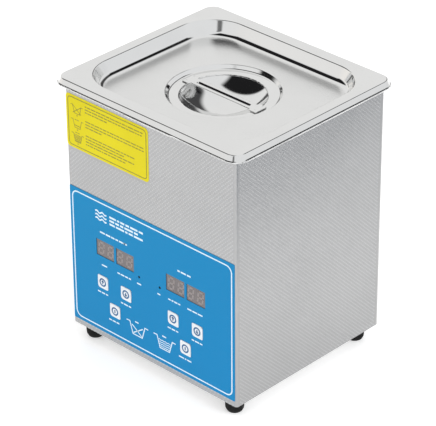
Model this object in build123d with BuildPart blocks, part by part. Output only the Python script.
"""Bench-top ultrasonic cleaner, two-litre class, as separate pieces.

Frame: millimetres, +Z up, the control panel faces -Y, +X is to the operator's right.
The origin is on the surface that the feet stand on, below the middle of the body.
"""
import os
from math import radians, tan

from build123d import *

# ---------------------------------------------------------------- driving dimensions
SHEET = 0.8  # stainless sheet of the casing, the tank and the lid

BODY_W = 162.0
BODY_D = 146.0
BODY_BOTTOM = 11.5
BODY_TOP = 207.4
BEND_R = 2.2

TANK_W = 154.4
TANK_D = 136.0
TANK_CORNER_R = 30.0
TANK_FLOOR_R = 8.0
TANK_DEPTH = 100.0
TANK_ENTRY_R = 2.5
RIM_W = 166.0
RIM_D = 150.0
RIM_R = 4.4
RIM_TOP = 209.2
RIM_SKIRT = 3.6

LID_W = 175.0
LID_D = 159.0
LID_TOP = 210.0
LIP_BOTTOM = 204.9
LIP_FLARE = 2.6
LID_CORNER_R = 9.0
TRAY_W = 149.6
TRAY_D = 130.4
TRAY_CORNER_R = 28.0
TRAY_Z = 199.2
CUP_RING_R = 40.0
CUP_STEP_R = 37.4
BOWL_R = 31.0
SHOULDER_Z = 196.2
BOWL_FLOOR_Z = 182.4
BOWL_RIM_SLOPE = radians(48)
BOWL_DISH_R = 40.0
HANDLE_L = 70.0
HANDLE_W = 8.2
HANDLE_END_W = 11.8
HANDLE_T = 0.9
GROOVE_L = 51.0
GROOVE_W = 4.0
GROOVE_DEPTH = 1.8

FOOT_X = 69.3
FOOT_Y = 62.7
FOOT_TOP_R = 7.2
FOOT_BOTTOM_R = 6.3
FOOT_HOLE_R = 1.7

FILM_T = 0.3
FILM_W = 159.0
FILM_BOTTOM = 16.0
FILM_TOP = 125.2
LABEL_T = 0.15
LABEL_W = 80.0
LABEL_H = 41.2
LABEL_X = -40.1
LABEL_Z = 177.2

DISPLAY_W = 17.6
DISPLAY_H = 13.0
DISPLAY_PITCH = 19.7
DISPLAY_Z = 85.3
DISPLAY_DEPTH = 7.2
TEMP_X = -35.5
TIMER_X = 33.3
LAMP_Z = 77.4
LAMP_X = {"heating": -11.8, "timer": 8.4}
LAMP_R = 1.5

KEY_W = 10.0
KEY_H = 10.3
KEY_GAP = 0.2
KEY_ROW_Z = 57.7
KEY_LOW_Z = 38.6
KEY_SIDE = 11.6
TEMP_KEYS_X = -36.8
TIMER_KEYS_X = 32.8

INLET_X = 38.0
INLET_Z = 53.0
DRAWER_Z = INLET_Z - 17.5
EARTH_X = -44.0
EARTH_Z = 34.0

HALF_W = BODY_W / 2
HALF_D = BODY_D / 2
FRONT_Y = -HALF_D
REAR_Y = HALF_D
FRONT = Plane.XZ.offset(HALF_D)  # outer face of the front wall, local x is +X, local y is +Z
REAR = Plane((0, REAR_Y, 0), x_dir=(1, 0, 0), z_dir=(0, -1, 0))  # same layout, on the rear face
TANK_FLOOR_Z = RIM_TOP - TANK_DEPTH
TANK_UNDER_Z = TANK_FLOOR_Z - SHEET

KEYS = {
    "temp_up_key": (TEMP_KEYS_X - KEY_SIDE, KEY_ROW_Z),
    "temp_down_key": (TEMP_KEYS_X + KEY_SIDE, KEY_ROW_Z),
    "heater_power_key": (TEMP_KEYS_X, KEY_LOW_Z),
    "time_up_key": (TIMER_KEYS_X - KEY_SIDE, KEY_ROW_Z),
    "time_down_key": (TIMER_KEYS_X + KEY_SIDE, KEY_ROW_Z),
    "timer_power_key": (TIMER_KEYS_X, KEY_LOW_Z),
}
DISPLAY_X = [
    TEMP_X - DISPLAY_PITCH / 2,
    TEMP_X + DISPLAY_PITCH / 2,
    TIMER_X - DISPLAY_PITCH / 2,
    TIMER_X + DISPLAY_PITCH / 2,
]
FOOT_SPOTS = {
    "foot_front_left": (-FOOT_X, -FOOT_Y),
    "foot_front_right": (FOOT_X, -FOOT_Y),
    "foot_rear_left": (-FOOT_X, FOOT_Y),
    "foot_rear_right": (FOOT_X, FOOT_Y),
}

os.makedirs("parts", exist_ok=True)


def save(piece, label):
    """Label a finished piece and write it as its own STEP file."""
    piece.part.label = label
    export_step(piece.part, f"parts/{label}.step")


def round_rect_wire(width, depth, radius, z):
    """Closed rounded rectangle as a path, starting in the middle of its +X side."""
    x, y = width / 2, depth / 2
    with BuildLine(Plane.XY.offset(z)) as outline:
        FilletPolyline((x, 0), (x, y), (-x, y), (-x, 0), radius=radius)
        FilletPolyline((-x, 0), (-x, -y), (x, -y), (x, 0), radius=radius)
    return outline.wire()


def bent_section(points, radii):
    """Section of bent sheet in the XZ plane: points run along its upper face."""
    with BuildSketch(Plane.XZ) as section:
        with BuildLine():
            FilletPolyline(*points, radius=radii)
            offset(amount=SHEET, side=Side.RIGHT)
        make_face()
    return section.sketch


# ---------------------------------------------------------------- lid
LIP_CREASE_X = LID_W / 2 - LIP_FLARE
LIP_START_X = LIP_CREASE_X - 5.9
TRAY_RIM = 3.0  # the flat flange starts this far outside the tray's middle outline

with BuildPart() as lid_shell:
    # flared lip with its rolled crease
    sweep(
        sections=bent_section(
            [(LIP_START_X, LID_TOP), (LIP_CREASE_X, LID_TOP), (LID_W / 2, LIP_BOTTOM)],
            [1.3],
        ),
        path=round_rect_wire(
            2 * LIP_CREASE_X,
            LID_D - 2 * LIP_FLARE,
            LID_CORNER_R - 1.0,
            LID_TOP,
        ),
    )
    # sloping wall of the tray, from the flat flange down to the plateau
    sweep(
        sections=bent_section(
            [
                (TRAY_W / 2 - 4.6, TRAY_Z),
                (TRAY_W / 2 - 1.7, TRAY_Z),
                (TRAY_W / 2 + 1.3, LID_TOP),
                (TRAY_W / 2 + TRAY_RIM, LID_TOP),
            ],
            [2.4, 1.9],
        ),
        path=round_rect_wire(TRAY_W, TRAY_D, TRAY_CORNER_R, TRAY_Z),
    )
    # flat flange between the lip and the tray
    with BuildSketch(Plane.XY.offset(LID_TOP - SHEET)):
        RectangleRounded(2 * LIP_START_X, LID_D - LID_W + 2 * LIP_START_X, LID_CORNER_R - 6.9)
        RectangleRounded(
            TRAY_W + 2 * TRAY_RIM,
            TRAY_D + 2 * TRAY_RIM,
            TRAY_CORNER_R + TRAY_RIM,
            mode=Mode.SUBTRACT,
        )
    extrude(amount=SHEET)
    # plateau
    with BuildSketch(Plane.XY.offset(TRAY_Z - SHEET)):
        RectangleRounded(TRAY_W - 9.2, TRAY_D - 9.2, TRAY_CORNER_R - 4.6)
        Circle(CUP_RING_R + 3.0, mode=Mode.SUBTRACT)
    extrude(amount=SHEET)
    # stepped cup with its round dish, turned about the middle of the lid
    with BuildSketch(Plane.XZ):
        with BuildLine():
            FilletPolyline(
                (CUP_RING_R + 3.0, TRAY_Z),
                (CUP_RING_R + 0.9, TRAY_Z),
                (CUP_STEP_R, SHOULDER_Z),
                (BOWL_R, SHOULDER_Z),
                (BOWL_R - (SHOULDER_Z - BOWL_FLOOR_Z) / tan(BOWL_RIM_SLOPE), BOWL_FLOOR_Z),
                (0, BOWL_FLOOR_Z),
                radius=[1.0, 1.0, 2.0, BOWL_DISH_R],
            )
            offset(amount=SHEET, side=Side.LEFT)
        make_face()
    revolve(axis=Axis.Z)
save(lid_shell, "lid_shell")

with BuildPart() as lid_handle:
    with BuildSketch(Plane.XY.offset(SHOULDER_Z)):
        Rectangle(HANDLE_L, HANDLE_W)
        with Locations((-HANDLE_L / 2 + 3.2, 0), (HANDLE_L / 2 - 3.2, 0)):
            RectangleRounded(6.4, HANDLE_END_W, 1.2)
    extrude(amount=HANDLE_T)
    with BuildSketch(Plane.XY.offset(SHOULDER_Z - GROOVE_DEPTH)):
        RectangleRounded(GROOVE_L + 1.6, GROOVE_W + 1.6, 1.6)
    extrude(amount=GROOVE_DEPTH)
    with BuildSketch(Plane.XY.offset(SHOULDER_Z + HANDLE_T - GROOVE_DEPTH)):
        RectangleRounded(GROOVE_L, GROOVE_W, 0.8)
    extrude(amount=GROOVE_DEPTH + 1, mode=Mode.SUBTRACT)
    # spot welds at the four corners
    with Locations(
        *[(side * (HANDLE_L / 2 - 2.6), y, SHOULDER_Z + HANDLE_T) for side in (-1, 1) for y in (-3.6, 3.6)]
    ):
        Cylinder(0.9, 0.25, align=(Align.CENTER, Align.CENTER, Align.MIN))
save(lid_handle, "lid_handle")

# ---------------------------------------------------------------- tank and its rim seal
def inside_mouth(ring):
    """Keep the edges that lie round the tank's mouth, not those of the wider rim."""
    reach_x = TANK_W / 2 + SHEET + 0.1
    reach_y = TANK_D / 2 + SHEET + 0.1
    return [edge for edge in ring if abs(edge.center().X) < reach_x and abs(edge.center().Y) < reach_y]


with BuildPart() as tank_hollow:
    with BuildSketch(Plane.XY.offset(TANK_FLOOR_Z)):
        RectangleRounded(TANK_W, TANK_D, TANK_CORNER_R)
    extrude(amount=TANK_DEPTH)
    fillet(edges().group_by(Axis.Z)[0], TANK_FLOOR_R)

with BuildPart() as tank:
    with BuildSketch(Plane.XY.offset(TANK_UNDER_Z)):
        RectangleRounded(TANK_W + 2 * SHEET, TANK_D + 2 * SHEET, TANK_CORNER_R + SHEET)
    extrude(amount=RIM_TOP - TANK_UNDER_Z)
    fillet(edges().group_by(Axis.Z)[0], TANK_FLOOR_R + SHEET)
    # pressed rim that rests on the casing
    with BuildSketch(Plane.XY.offset(RIM_TOP - SHEET)):
        RectangleRounded(RIM_W, RIM_D, RIM_R)
    extrude(amount=SHEET)
    under_rim = edges().filter_by_position(Axis.Z, RIM_TOP - SHEET - 0.01, RIM_TOP - SHEET + 0.01)
    fillet(inside_mouth(under_rim), TANK_ENTRY_R - SHEET)
    with BuildSketch(Plane.XY.offset(RIM_TOP - RIM_SKIRT)):
        RectangleRounded(RIM_W, RIM_D, RIM_R)
        RectangleRounded(RIM_W - 2 * SHEET, RIM_D - 2 * SHEET, RIM_R - SHEET, mode=Mode.SUBTRACT)
    extrude(amount=RIM_SKIRT - SHEET)
    add(tank_hollow.part, mode=Mode.SUBTRACT)
    mouth = edges().filter_by_position(Axis.Z, RIM_TOP - 0.01, RIM_TOP + 0.01)
    fillet(inside_mouth(mouth), TANK_ENTRY_R)
save(tank, "tank")

with BuildPart() as rim_gasket:
    with BuildSketch(Plane.XY.offset(BODY_TOP)):
        RectangleRounded(BODY_W + 1.4, BODY_D + 1.4, 3.0)
        RectangleRounded(BODY_W - 2.6, BODY_D - 2.6, 1.5, mode=Mode.SUBTRACT)
    extrude(amount=RIM_TOP - SHEET - BODY_TOP)
save(rim_gasket, "rim_gasket")

# ---------------------------------------------------------------- casing
LUG = 20.0
RETURN_W = 10.0
PANEL_SCREW_X = HALF_W - SHEET - RETURN_W / 2
PANEL_SCREW_Z = (28.0, 110.0, 192.0)
FOOT_FLOOR = 1.0  # thickness of the base sheet above each foot
DISPLAY_CUT_W = DISPLAY_PITCH + DISPLAY_W + 0.6

with BuildPart() as casing_wrap:
    # front and both sides bent from one sheet
    with BuildSketch(Plane.XY.offset(BODY_BOTTOM)):
        with BuildLine():
            FilletPolyline(
                (HALF_W, REAR_Y - SHEET),
                (HALF_W, FRONT_Y),
                (-HALF_W, FRONT_Y),
                (-HALF_W, REAR_Y - SHEET),
                radius=BEND_R,
            )
            offset(amount=SHEET, side=Side.RIGHT)
        make_face()
    extrude(amount=BODY_TOP - BODY_BOTTOM)
    # return flanges that the rear panel screws onto
    with Locations(*[(side * PANEL_SCREW_X, REAR_Y - 1.5 * SHEET, BODY_BOTTOM + 1.2) for side in (-1, 1)]):
        Box(
            RETURN_W,
            SHEET,
            BODY_TOP - BODY_BOTTOM - 2.4,
            align=(Align.CENTER, Align.CENTER, Align.MIN),
        )
    # corner lugs that the foot screws pass through
    lug_x = HALF_W - SHEET - LUG / 2
    lug_y = FOOT_Y - 1.0
    with Locations(*[(sx * lug_x, sy * lug_y, BODY_BOTTOM + FOOT_FLOOR) for sx in (-1, 1) for sy in (-1, 1)]):
        Box(LUG, 17.0, SHEET, align=(Align.CENTER, Align.CENTER, Align.MIN))
    with BuildSketch(Plane.XY.offset(BODY_BOTTOM)):
        with Locations(*FOOT_SPOTS.values()):
            Circle(FOOT_HOLE_R)
    extrude(amount=4.0, mode=Mode.SUBTRACT)
    # openings for the displays, the lamps and the keys
    with BuildSketch(FRONT):
        with Locations((TEMP_X, DISPLAY_Z), (TIMER_X, DISPLAY_Z)):
            Rectangle(DISPLAY_CUT_W, DISPLAY_H + 0.6)
        with Locations(*[(x, LAMP_Z) for x in LAMP_X.values()]):
            Circle(LAMP_R + 0.2)
        with Locations(*KEYS.values()):
            RectangleRounded(KEY_W + 2 * KEY_GAP, KEY_H + 2 * KEY_GAP, 1.4)
    extrude(amount=-3.0, mode=Mode.SUBTRACT)
    # screw holes of the rear panel
    with BuildSketch(REAR):
        with Locations(*[(side * PANEL_SCREW_X, z) for side in (-1, 1) for z in PANEL_SCREW_Z]):
            Circle(1.45)
    extrude(amount=3.0, mode=Mode.SUBTRACT)
save(casing_wrap, "casing_wrap")

with BuildPart() as rear_panel:
    with BuildSketch(REAR):
        with Locations((0, (BODY_BOTTOM + BODY_TOP) / 2)):
            Rectangle(BODY_W, BODY_TOP - BODY_BOTTOM)
        # louvre slots
        with Locations((0, 128.0)):
            with GridLocations(0, 7.5, 1, 7):
                SlotOverall(86.0, 3.2, mode=Mode.SUBTRACT)
        # mains inlet opening and its screw holes
        with Locations((INLET_X, (INLET_Z + DRAWER_Z) / 2 + 1.0)):
            Rectangle(28.6, 37.2, mode=Mode.SUBTRACT)
        with Locations((INLET_X - 20.0, INLET_Z), (INLET_X + 20.0, INLET_Z)):
            Circle(1.7, mode=Mode.SUBTRACT)
        with Locations((EARTH_X, EARTH_Z)):
            Circle(2.1, mode=Mode.SUBTRACT)
        with Locations(*[(side * PANEL_SCREW_X, z) for side in (-1, 1) for z in PANEL_SCREW_Z]):
            Circle(1.7, mode=Mode.SUBTRACT)
    extrude(amount=SHEET)
save(rear_panel, "rear_panel")


def pan_screws(spots, plane, head_r, shank_r, length, drive_w):
    """Cross-head pan screws: heads stand on the plane, shanks go to its other side."""
    with BuildPart() as screws:
        with BuildSketch(plane):
            with Locations(*spots):
                Circle(head_r)
        extrude(amount=head_r * 0.7)
        fillet(edges().filter_by(GeomType.CIRCLE).sort_by(SortBy.DISTANCE)[-len(spots):], head_r * 0.3)
        with BuildSketch(plane.offset(head_r * 0.7)):
            with Locations(*spots):
                Rectangle(head_r * 1.1, drive_w)
                Rectangle(drive_w, head_r * 1.1)
        extrude(amount=-head_r * 0.35, mode=Mode.SUBTRACT)
        with BuildSketch(plane):
            with Locations(*spots):
                Circle(shank_r)
        extrude(amount=-length)
    return screws


OUT_OF_REAR = Plane((0, REAR_Y, 0), x_dir=(-1, 0, 0), z_dir=(0, 1, 0))

panel_screws = pan_screws(
    [(side * PANEL_SCREW_X, z) for side in (-1, 1) for z in PANEL_SCREW_Z],
    OUT_OF_REAR,
    2.7,
    1.4,
    6.0,
    0.6,
)
save(panel_screws, "panel_screws")

BASE_W = BODY_W - 2 * SHEET - 0.2
BASE_D = BODY_D - 2 * SHEET - 0.4
with BuildPart() as base_plate:
    with BuildSketch(Plane.XY.offset(BODY_BOTTOM)):
        RectangleRounded(BASE_W, BASE_D, 1.3)
        with Locations(*FOOT_SPOTS.values()):
            Circle(FOOT_HOLE_R, mode=Mode.SUBTRACT)
        with GridLocations(66.0, 9.0, 2, 5):
            SlotOverall(44.0, 3.6, mode=Mode.SUBTRACT)
    extrude(amount=FOOT_FLOOR)
save(base_plate, "base_plate")

# ---------------------------------------------------------------- feet
for label, (x, y) in FOOT_SPOTS.items():
    with BuildPart() as foot:
        with BuildSketch(Plane((x, y, 0), x_dir=(1, 0, 0), z_dir=(0, -1, 0))):
            with BuildLine():
                Line((2.2, BODY_BOTTOM), (FOOT_TOP_R, BODY_BOTTOM))
                Line((FOOT_TOP_R, BODY_BOTTOM), (FOOT_BOTTOM_R + 0.3, 2.6))
                Line((FOOT_BOTTOM_R + 0.3, 2.6), (FOOT_BOTTOM_R - 1.0, 0))
                Line((FOOT_BOTTOM_R - 1.0, 0), (3.6, 0))
                Line((3.6, 0), (3.6, 5.0))
                Line((3.6, 5.0), (2.2, 5.0))
                Line((2.2, 5.0), (2.2, BODY_BOTTOM))
            make_face()
            fillet(vertices().group_by(Axis.Y)[0].sort_by(Axis.X)[-1], 1.4)
            fillet(vertices().filter_by_position(Axis.Y, 2.5, 2.7), 1.4)
        revolve(axis=Axis((x, y, 0), (0, 0, 1)))
    save(foot, label)

foot_screws = pan_screws(
    list(FOOT_SPOTS.values()),
    Plane((0, 0, 5.0), x_dir=(1, 0, 0), z_dir=(0, 0, -1)),
    2.9,
    1.5,
    12.4,
    0.7,
)
save(foot_screws, "foot_screws")

with BuildPart() as foot_nuts:
    with BuildSketch(Plane.XY.offset(BODY_BOTTOM + FOOT_FLOOR + SHEET)):
        with Locations(*FOOT_SPOTS.values()):
            RegularPolygon(3.1, 6)
            Circle(1.5, mode=Mode.SUBTRACT)
    extrude(amount=2.4)
save(foot_nuts, "foot_nuts")

# ---------------------------------------------------------------- front: film, label, displays, keys
with BuildPart() as control_film:
    with BuildSketch(FRONT):
        with Locations((0, (FILM_BOTTOM + FILM_TOP) / 2)):
            RectangleRounded(FILM_W, FILM_TOP - FILM_BOTTOM, 0.8)
        with Locations(*[(x, DISPLAY_Z) for x in DISPLAY_X]):
            Rectangle(DISPLAY_W, DISPLAY_H, mode=Mode.SUBTRACT)
        with Locations(*[(x, LAMP_Z) for x in LAMP_X.values()]):
            Circle(LAMP_R - 0.5, mode=Mode.SUBTRACT)
        with Locations(*KEYS.values()):
            RectangleRounded(KEY_W + 2 * KEY_GAP, KEY_H + 2 * KEY_GAP, 1.4, mode=Mode.SUBTRACT)
    extrude(amount=FILM_T)
save(control_film, "control_film")

with BuildPart() as instruction_label:
    with BuildSketch(FRONT):
        with Locations((LABEL_X, LABEL_Z)):
            RectangleRounded(LABEL_W, LABEL_H, 3.0)
    extrude(amount=LABEL_T)
save(instruction_label, "instruction_label")

BOARD_FRONT_Y = FRONT_Y + 0.1 + DISPLAY_DEPTH
DISPLAY_FACE = Plane.XZ.offset(-BOARD_FRONT_Y)
for label, spots in {"temperature_display": DISPLAY_X[:2], "timer_display": DISPLAY_X[2:]}.items():
    with BuildPart() as display:
        with BuildSketch(DISPLAY_FACE):
            with Locations(*[(x, DISPLAY_Z) for x in spots]):
                Rectangle(DISPLAY_W - 0.1, DISPLAY_H - 0.1)
        extrude(amount=DISPLAY_DEPTH)
    save(display, label)

for label, x in LAMP_X.items():
    with BuildPart() as lamp:
        with BuildSketch(DISPLAY_FACE):
            with Locations((x, LAMP_Z)):
                Circle(LAMP_R)
        extrude(amount=DISPLAY_DEPTH - 0.3)
        fillet(faces().sort_by(Axis.Y)[0].edges(), LAMP_R - 0.1)
    save(lamp, f"{label}_lamp")

SWITCH_W = 6.2
SWITCH_H = 3.6
SWITCH_BORE_R = 1.8
STEM_R = 1.7
KEY_FACE_Y = FRONT_Y - FILM_T - 0.45
KEY_CAP_T = 1.6
for label, (x, z) in KEYS.items():
    with BuildPart() as key:
        # cap with two sharp and two well rounded corners
        with BuildSketch(Plane.XZ.offset(-KEY_FACE_Y - KEY_CAP_T)):
            with Locations((x, z)):
                Rectangle(KEY_W, KEY_H)
            rising = vertices().sort_by(lambda corner: corner.X + corner.Y)
            fillet([rising[0], rising[-1]], 2.4)
            falling = vertices().sort_by(lambda corner: corner.X - corner.Y)
            fillet([falling[0], falling[-1]], 0.8)
        extrude(amount=KEY_CAP_T)
        fillet(faces().sort_by(Axis.Y)[0].edges(), 0.25)
        # stem that reaches into the switch behind it
        with BuildSketch(Plane.XZ.offset(-KEY_FACE_Y - KEY_CAP_T)):
            with Locations((x, z)):
                Circle(STEM_R)
        stem_end = BOARD_FRONT_Y - SWITCH_H + 0.9
        extrude(amount=-(stem_end - KEY_FACE_Y - KEY_CAP_T))
    save(key, label)

with BuildPart() as key_switches:
    with BuildSketch(DISPLAY_FACE):
        with Locations(*KEYS.values()):
            RectangleRounded(SWITCH_W, SWITCH_W, 0.6)
    extrude(amount=SWITCH_H)
    with BuildSketch(DISPLAY_FACE.offset(SWITCH_H)):
        with Locations(*KEYS.values()):
            Circle(SWITCH_BORE_R)
    extrude(amount=-1.6, mode=Mode.SUBTRACT)
save(key_switches, "key_switches")

BOARD_T = 1.6
DISPLAY_BOARD_W = 136.0
DISPLAY_BOARD_Z = (26.0, 102.0)
BOARD_POSTS = [(x, z) for x in (-63.0, 63.0) for z in (31.0, 97.0)]
with BuildPart() as display_board:
    with BuildSketch(DISPLAY_FACE):
        with Locations((0, sum(DISPLAY_BOARD_Z) / 2)):
            RectangleRounded(DISPLAY_BOARD_W, DISPLAY_BOARD_Z[1] - DISPLAY_BOARD_Z[0], 2.0)
        with Locations(*BOARD_POSTS):
            Circle(1.6, mode=Mode.SUBTRACT)
    extrude(amount=-BOARD_T)
save(display_board, "display_board")

with BuildPart() as display_board_posts:
    with BuildSketch(FRONT.offset(-SHEET)):
        with Locations(*BOARD_POSTS):
            Circle(2.8)
    extrude(amount=-(BOARD_FRONT_Y - FRONT_Y - SHEET))
    with BuildSketch(DISPLAY_FACE):
        with Locations(*BOARD_POSTS):
            Circle(1.5)
    extrude(amount=-BOARD_T - 3.0)
save(display_board_posts, "display_board_posts")

with BuildPart() as display_board_nuts:
    with BuildSketch(DISPLAY_FACE.offset(-BOARD_T)):
        with Locations(*BOARD_POSTS):
            RegularPolygon(3.1, 6)
            Circle(1.5, mode=Mode.SUBTRACT)
    extrude(amount=-2.4)
save(display_board_nuts, "display_board_nuts")

# ---------------------------------------------------------------- transducer under the tank
BOND_T = 0.4
HORN_TOP = TANK_UNDER_Z - BOND_T
HORN_H = 22.0
HORN_R = 22.5
STACK_R = 17.5
RING_T = 5.0
TAB_T = 0.4
BACK_H = 15.0
BOLT_R = 4.0
STACK_TOP = HORN_TOP - HORN_H

with BuildPart() as bond_layer:
    with Locations((0, 0, HORN_TOP)):
        Cylinder(HORN_R - 0.5, BOND_T, align=(Align.CENTER, Align.CENTER, Align.MIN))
save(bond_layer, "bond_layer")

with BuildPart() as transducer_horn:
    with BuildSketch(Plane.XZ):
        with BuildLine():
            Polyline(
                (0, HORN_TOP),
                (HORN_R, HORN_TOP),
                (HORN_R, HORN_TOP - 4.0),
                (STACK_R, STACK_TOP + 4.0),
                (STACK_R, STACK_TOP),
                (BOLT_R, STACK_TOP),
                (BOLT_R, STACK_TOP + 12.0),
                (0, STACK_TOP + 12.0),
                close=True,
            )
        make_face()
    revolve(axis=Axis.Z)
save(transducer_horn, "transducer_horn")


def stack_disc(top, thickness, tab=0.0, angle=0.0):
    """Washer of the transducer stack, hanging down from top, with an optional solder tab."""
    with BuildPart() as disc:
        with BuildSketch(Plane.XY.offset(top - thickness)):
            Circle(STACK_R)
            if tab:
                with Locations(Rotation(0, 0, angle)):
                    with Locations((STACK_R + tab / 2 - 1.0, 0)):
                        Rectangle(tab + 2.0, 4.0)
            Circle(BOLT_R + 0.6, mode=Mode.SUBTRACT)
        extrude(amount=thickness)
    return disc.part


TAB_TOPS = [STACK_TOP - i * (TAB_T + RING_T) for i in range(3)]
with BuildPart() as electrode_plates:
    for turn, top in enumerate(TAB_TOPS):
        add(stack_disc(top, TAB_T, tab=7.0, angle=-60.0 + 40.0 * turn))
save(electrode_plates, "electrode_plates")

with BuildPart() as piezo_rings:
    for top in TAB_TOPS[:2]:
        add(stack_disc(top - TAB_T, RING_T))
save(piezo_rings, "piezo_rings")

BACK_TOP = TAB_TOPS[2] - TAB_T
with BuildPart() as back_mass:
    with BuildSketch(Plane.XY.offset(BACK_TOP - BACK_H)):
        Circle(STACK_R)
        Circle(BOLT_R + 0.6, mode=Mode.SUBTRACT)
    extrude(amount=BACK_H)
    chamfer(edges().group_by(Axis.Z)[0].sort_by(SortBy.LENGTH)[-1], 1.2)
save(back_mass, "back_mass")

with BuildPart() as transducer_bolt:
    with BuildSketch(Plane.XY.offset(BACK_TOP - BACK_H - 6.0)):
        RegularPolygon(7.5, 6)
    extrude(amount=6.0)
    with BuildSketch(Plane.XY.offset(BACK_TOP - BACK_H)):
        Circle(BOLT_R)
    extrude(amount=STACK_TOP + 12.0 - BACK_TOP + BACK_H)
save(transducer_bolt, "transducer_bolt")

# ---------------------------------------------------------------- heaters and thermostat
HEATER_T = 1.4
HEATER_Y = TANK_D / 2 + SHEET
with BuildPart() as heater_pads:
    for side in (-1, 1):
        with Locations((0, side * (HEATER_Y + HEATER_T / 2), 148.0)):
            Box(86.0, HEATER_T, 44.0)
    fillet(edges().filter_by(Axis.Y), 4.0)
save(heater_pads, "heater_pads")

with BuildPart() as thermostat:
    with Locations((42.0, 26.0, TANK_UNDER_Z - 7.0)):
        Cylinder(8.0, 7.0, align=(Align.CENTER, Align.CENTER, Align.MIN))
    with Locations((42.0, 22.0, TANK_UNDER_Z - 12.0), (42.0, 30.0, TANK_UNDER_Z - 12.0)):
        Box(4.8, 0.8, 5.0, align=(Align.CENTER, Align.CENTER, Align.MIN))
save(thermostat, "thermostat")

with BuildPart() as temperature_sensor:
    with Locations((-42.0, 20.0, TANK_UNDER_Z - 3.0)):
        Box(22.0, 6.0, 3.0, align=(Align.CENTER, Align.CENTER, Align.MIN))
    fillet(edges().filter_by(Axis.Z), 2.0)
save(temperature_sensor, "temperature_sensor")

# ---------------------------------------------------------------- power board in the base
MAIN_BOARD_W = 128.0
MAIN_BOARD_D = 92.0
MAIN_BOARD_Z = 21.0
MAIN_BOARD_Y = 10.0
MAIN_POSTS = [(x, MAIN_BOARD_Y + y) for x in (-58.0, 58.0) for y in (-40.0, 40.0)]
BOARD_TOP = MAIN_BOARD_Z + BOARD_T

with BuildPart() as power_board:
    with BuildSketch(Plane.XY.offset(MAIN_BOARD_Z)):
        with Locations((0, MAIN_BOARD_Y)):
            RectangleRounded(MAIN_BOARD_W, MAIN_BOARD_D, 2.0)
        with Locations(*MAIN_POSTS):
            Circle(1.6, mode=Mode.SUBTRACT)
    extrude(amount=BOARD_T)
save(power_board, "power_board")

with BuildPart() as board_posts:
    with BuildSketch(Plane.XY.offset(BODY_BOTTOM + FOOT_FLOOR)):
        with Locations(*MAIN_POSTS):
            RegularPolygon(3.2, 6)
    extrude(amount=MAIN_BOARD_Z - BODY_BOTTOM - FOOT_FLOOR)
save(board_posts, "board_posts")

board_screws = pan_screws(MAIN_POSTS, Plane.XY.offset(BOARD_TOP), 2.7, 1.5, BOARD_T, 0.6)
save(board_screws, "board_screws")

with BuildPart() as toroid_transformer:
    with BuildSketch(Plane((-38.0, MAIN_BOARD_Y - 18.0, BOARD_TOP + 9.5), x_dir=(1, 0, 0), z_dir=(0, -1, 0))):
        with Locations((11.5, 0)):
            RectangleRounded(11.0, 19.0, 4.0)
    revolve(axis=Axis((-38.0, MAIN_BOARD_Y - 18.0, 0), (0, 0, 1)))
save(toroid_transformer, "toroid_transformer")

HEATSINK_X = 52.0
with BuildPart() as heatsink:
    with BuildSketch(Plane.XY.offset(BOARD_TOP)):
        with Locations((HEATSINK_X, MAIN_BOARD_Y)):
            Rectangle(3.0, 62.0)
        with Locations((HEATSINK_X + 5.0, MAIN_BOARD_Y)):
            with GridLocations(0, 7.5, 1, 9):
                Rectangle(8.0, 1.6)
    extrude(amount=38.0)
save(heatsink, "heatsink")

with BuildPart() as power_transistors:
    with Locations(*[(HEATSINK_X - 4.0, MAIN_BOARD_Y + y, BOARD_TOP + 5.0) for y in (-18.0, 4.0)]):
        Box(5.0, 15.5, 20.0, align=(Align.CENTER, Align.CENTER, Align.MIN))
    leg_y = [MAIN_BOARD_Y + y + step for y in (-18.0, 4.0) for step in (-5.4, 0, 5.4)]
    with Locations(*[(HEATSINK_X - 4.0, y, BOARD_TOP) for y in leg_y]):
        Box(0.8, 1.2, 5.0, align=(Align.CENTER, Align.CENTER, Align.MIN))
save(power_transistors, "power_transistors")

with BuildPart() as capacitors:
    with Locations((-8.0, MAIN_BOARD_Y + 30.0, BOARD_TOP), (12.0, MAIN_BOARD_Y + 30.0, BOARD_TOP)):
        Cylinder(8.0, 25.0, align=(Align.CENTER, Align.CENTER, Align.MIN))
    fillet(edges().group_by(Axis.Z)[-1], 1.0)
save(capacitors, "capacitors")

with BuildPart() as film_capacitors:
    with Locations(*[(x, MAIN_BOARD_Y - 34.0, BOARD_TOP) for x in (6.0, 26.0)]):
        Box(16.0, 9.0, 15.0, align=(Align.CENTER, Align.CENTER, Align.MIN))
    fillet(edges().filter_by(Axis.Z), 1.0)
save(film_capacitors, "film_capacitors")

with BuildPart() as relay:
    with Locations((-42.0, MAIN_BOARD_Y + 30.0, BOARD_TOP)):
        Box(19.0, 15.5, 15.5, align=(Align.CENTER, Align.CENTER, Align.MIN))
    fillet(edges().filter_by(Axis.Z), 0.8)
save(relay, "relay")

# ---------------------------------------------------------------- mains inlet with its fuse drawer
INLET_DEPTH = 26.0
FLANGE_T = 2.4
SOCKET_W = 24.4
SOCKET_H = 16.6
DRAWER_W = 21.0
DRAWER_H = 8.6
DRAWER_GAP = 0.15
DRAWER_DEPTH = 24.0
FUSE_R = 2.6
INLET_MID_Z = (INLET_Z + DRAWER_Z) / 2 + 1.0
INLET_FACE_Y = REAR_Y + FLANGE_T

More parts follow.
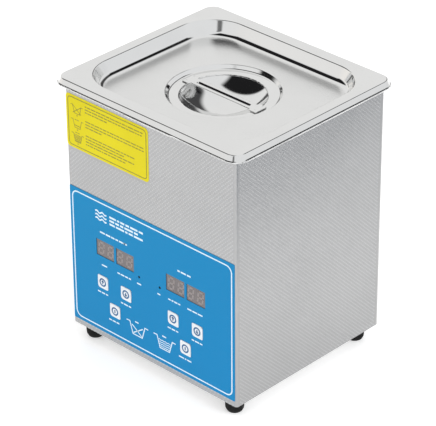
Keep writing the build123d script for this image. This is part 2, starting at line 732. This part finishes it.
with BuildPart() as mains_inlet:
    with BuildSketch(OUT_OF_REAR):
        with Locations((-INLET_X, INLET_MID_Z)):
            RectangleRounded(32.0, 40.6, 2.0)
        with Locations((-INLET_X, INLET_Z)):
            RectangleRounded(50.0, 14.0, 6.9)
        with Locations((-INLET_X - 20.0, INLET_Z), (-INLET_X + 20.0, INLET_Z)):
            Circle(1.7, mode=Mode.SUBTRACT)
    extrude(amount=FLANGE_T)
    with BuildSketch(OUT_OF_REAR):
        with Locations((-INLET_X, INLET_MID_Z)):
            RectangleRounded(28.0, 36.6, 1.0)
    extrude(amount=-INLET_DEPTH)
    with BuildSketch(OUT_OF_REAR.offset(FLANGE_T)):
        with Locations((-INLET_X, INLET_Z)):
            Rectangle(SOCKET_W, SOCKET_H)
        chamfer(vertices().group_by(Axis.Y)[-1], 4.2)
    extrude(amount=-17.5, mode=Mode.SUBTRACT)
    with BuildSketch(OUT_OF_REAR.offset(FLANGE_T)):
        with Locations((-INLET_X, DRAWER_Z)):
            Rectangle(DRAWER_W, DRAWER_H)
    extrude(amount=-DRAWER_DEPTH, mode=Mode.SUBTRACT)
save(mains_inlet, "mains_inlet")

with BuildPart() as inlet_pins:
    with Locations(
        (INLET_X - 7.0, INLET_FACE_Y - 17.5, INLET_Z - 1.0),
        (INLET_X, INLET_FACE_Y - 17.5, INLET_Z + 3.4),
        (INLET_X + 7.0, INLET_FACE_Y - 17.5, INLET_Z - 1.0),
    ):
        Box(2.0, 14.5, 4.0, align=(Align.CENTER, Align.MIN, Align.CENTER))
        chamfer_ends = faces().filter_by(Axis.Y).group_by(Axis.Y)[-1].edges()
    chamfer(chamfer_ends, 0.5)
    with Locations(*[(INLET_X + x, REAR_Y - INLET_DEPTH, INLET_Z) for x in (-7.0, 0, 7.0)]):
        Box(4.8, 8.0, 0.8, align=(Align.CENTER, Align.MAX, Align.CENTER))
save(inlet_pins, "inlet_pins")

with BuildPart() as fuse_drawer:
    body_w = DRAWER_W - 2 * DRAWER_GAP
    body_h = DRAWER_H - 2 * DRAWER_GAP
    with Locations((INLET_X, INLET_FACE_Y, DRAWER_Z)):
        Box(body_w, DRAWER_DEPTH - 0.4, body_h, align=(Align.CENTER, Align.MAX, Align.CENTER))
        # finger catch along the drawer's front
        with Locations((0, 0, 0)):
            Box(12.0, 1.4, 2.4, align=(Align.CENTER, Align.MIN, Align.CENTER))
    # cradle that holds the fuse
    with BuildSketch(Plane.XY.offset(DRAWER_Z + body_h / 2)):
        with Locations((INLET_X, INLET_FACE_Y - 13.5)):
            Rectangle(FUSE_R * 2 + 13.0, 2 * FUSE_R + 0.3)
    extrude(amount=-body_h + 1.6, mode=Mode.SUBTRACT)
save(fuse_drawer, "fuse_drawer")

with BuildPart() as fuse:
    fuse_z = DRAWER_Z - body_h / 2 + 1.6 + FUSE_R
    with BuildSketch(Plane((INLET_X - 8.8, INLET_FACE_Y - 13.5, fuse_z), x_dir=(0, 1, 0), z_dir=(1, 0, 0))):
        Circle(FUSE_R)
    extrude(amount=17.6)
    fillet(edges().filter_by(GeomType.CIRCLE), 0.3)
save(fuse, "fuse")

inlet_screws = pan_screws(
    [(-INLET_X - 20.0, INLET_Z), (-INLET_X + 20.0, INLET_Z)],
    OUT_OF_REAR.offset(FLANGE_T),
    2.7,
    1.5,
    9.0,
    0.6,
)
save(inlet_screws, "inlet_screws")

with BuildPart() as inlet_nuts:
    with BuildSketch(OUT_OF_REAR.offset(-SHEET)):
        with Locations((-INLET_X - 20.0, INLET_Z), (-INLET_X + 20.0, INLET_Z)):
            RegularPolygon(3.1, 6)
            Circle(1.5, mode=Mode.SUBTRACT)
    extrude(amount=-2.4)
save(inlet_nuts, "inlet_nuts")

with BuildPart() as earth_stud:
    with BuildSketch(OUT_OF_REAR):
        with Locations((-EARTH_X, EARTH_Z)):
            Circle(3.4)
    extrude(amount=2.0)
    with BuildSketch(OUT_OF_REAR):
        with Locations((-EARTH_X, EARTH_Z)):
            Circle(2.0)
    extrude(amount=-14.0)
    with BuildSketch(OUT_OF_REAR.offset(-SHEET)):
        with Locations((-EARTH_X, EARTH_Z)):
            RegularPolygon(4.0, 6)
    extrude(amount=-3.2)
save(earth_stud, "earth_stud")

# ---------------------------------------------------------------- internal leads
LEAD_R = 1.0


def lead(points, radius):
    """Insulated wire: straight runs joined by arcs as large as each corner's shorter run allows."""
    stops = [Vector(*point) for point in points]
    runs = [b - a for a, b in zip(stops, stops[1:])]
    bends = []
    for before, after in zip(runs, runs[1:]):
        turn = before.get_angle(after)
        bends.append(0.45 * min(before.length, after.length) / tan(radians(turn / 2)))
    with BuildPart() as wire:
        with BuildLine() as route:
            FilletPolyline(*points, radius=bends)
        with BuildSketch(Plane(stops[0], z_dir=runs[0])):
            Circle(radius)
        sweep(path=route.wire())
    return wire.part


LEADS = {
    "transducer_leads": [
        [(24.8, -8.8, 80.4), (33, -10, 79), (38, -9, 66), (39, -7, 48), (38, -5, 34), (38, -5, BOARD_TOP)],
        [(24.8, 8.8, 75.0), (32, 11, 73), (37, 10, 62), (38, 7, 46), (37, 5, 34), (37, 5, BOARD_TOP)],
    ],
    "heater_leads": [
        [
            (30, -70.3, 125.8),
            (30, -70.3, 113),
            (31, -62, 105),
            (37, -48, 88),
            (42, -38, 62),
            (44, -30, 40),
            (44, -30, BOARD_TOP),
        ],
        [
            (-30, 70.3, 125.8),
            (-30, 70.3, 113),
            (-29, 62, 105),
            (-27, 50, 84),
            (-26, 44, 60),
            (-27, 43, 40),
            (-27, 43, BOARD_TOP),
        ],
    ],
    "mains_leads": [
        [(31, 38.9, INLET_Z), (31, 31, INLET_Z), (28, 26, 44), (27, 25, 34), (27, 25, BOARD_TOP)],
        [(45, 38.9, INLET_Z), (45, 32, INLET_Z), (39, 28, 44), (36, 27, 34), (36, 27, BOARD_TOP)],
    ],
    "earth_lead": [
        [
            (38, 38.9, INLET_Z),
            (38, 33, INLET_Z),
            (28, 35, 60),
            (12, 41, 62),
            (-6, 47, 60),
            (-24, 53, 53),
            (-38, 56, 44),
            (-43, 60, 38.5),
            (-44, 65, 37.3),
        ],
    ],
}
for label, routes in LEADS.items():
    with BuildPart() as loom:
        for route_points in routes:
            add(lead(route_points, LEAD_R))
    save(loom, label)

with BuildPart() as ribbon_cable:
    with BuildSketch(Plane.YZ.offset(-27.0)):
        with BuildLine():
            FilletPolyline(
                (BOARD_FRONT_Y + BOARD_T, 48.0),
                (BOARD_FRONT_Y + BOARD_T + 11.0, 48.0),
                (-46.0, 32.0),
                (-31.0, 31.0),
                (-31.0, BOARD_TOP),
                radius=[4.0, 6.0, 3.5],
            )
            offset(amount=0.9, side=Side.RIGHT)
        make_face()
    extrude(amount=14.0)
save(ribbon_cable, "ribbon_cable")
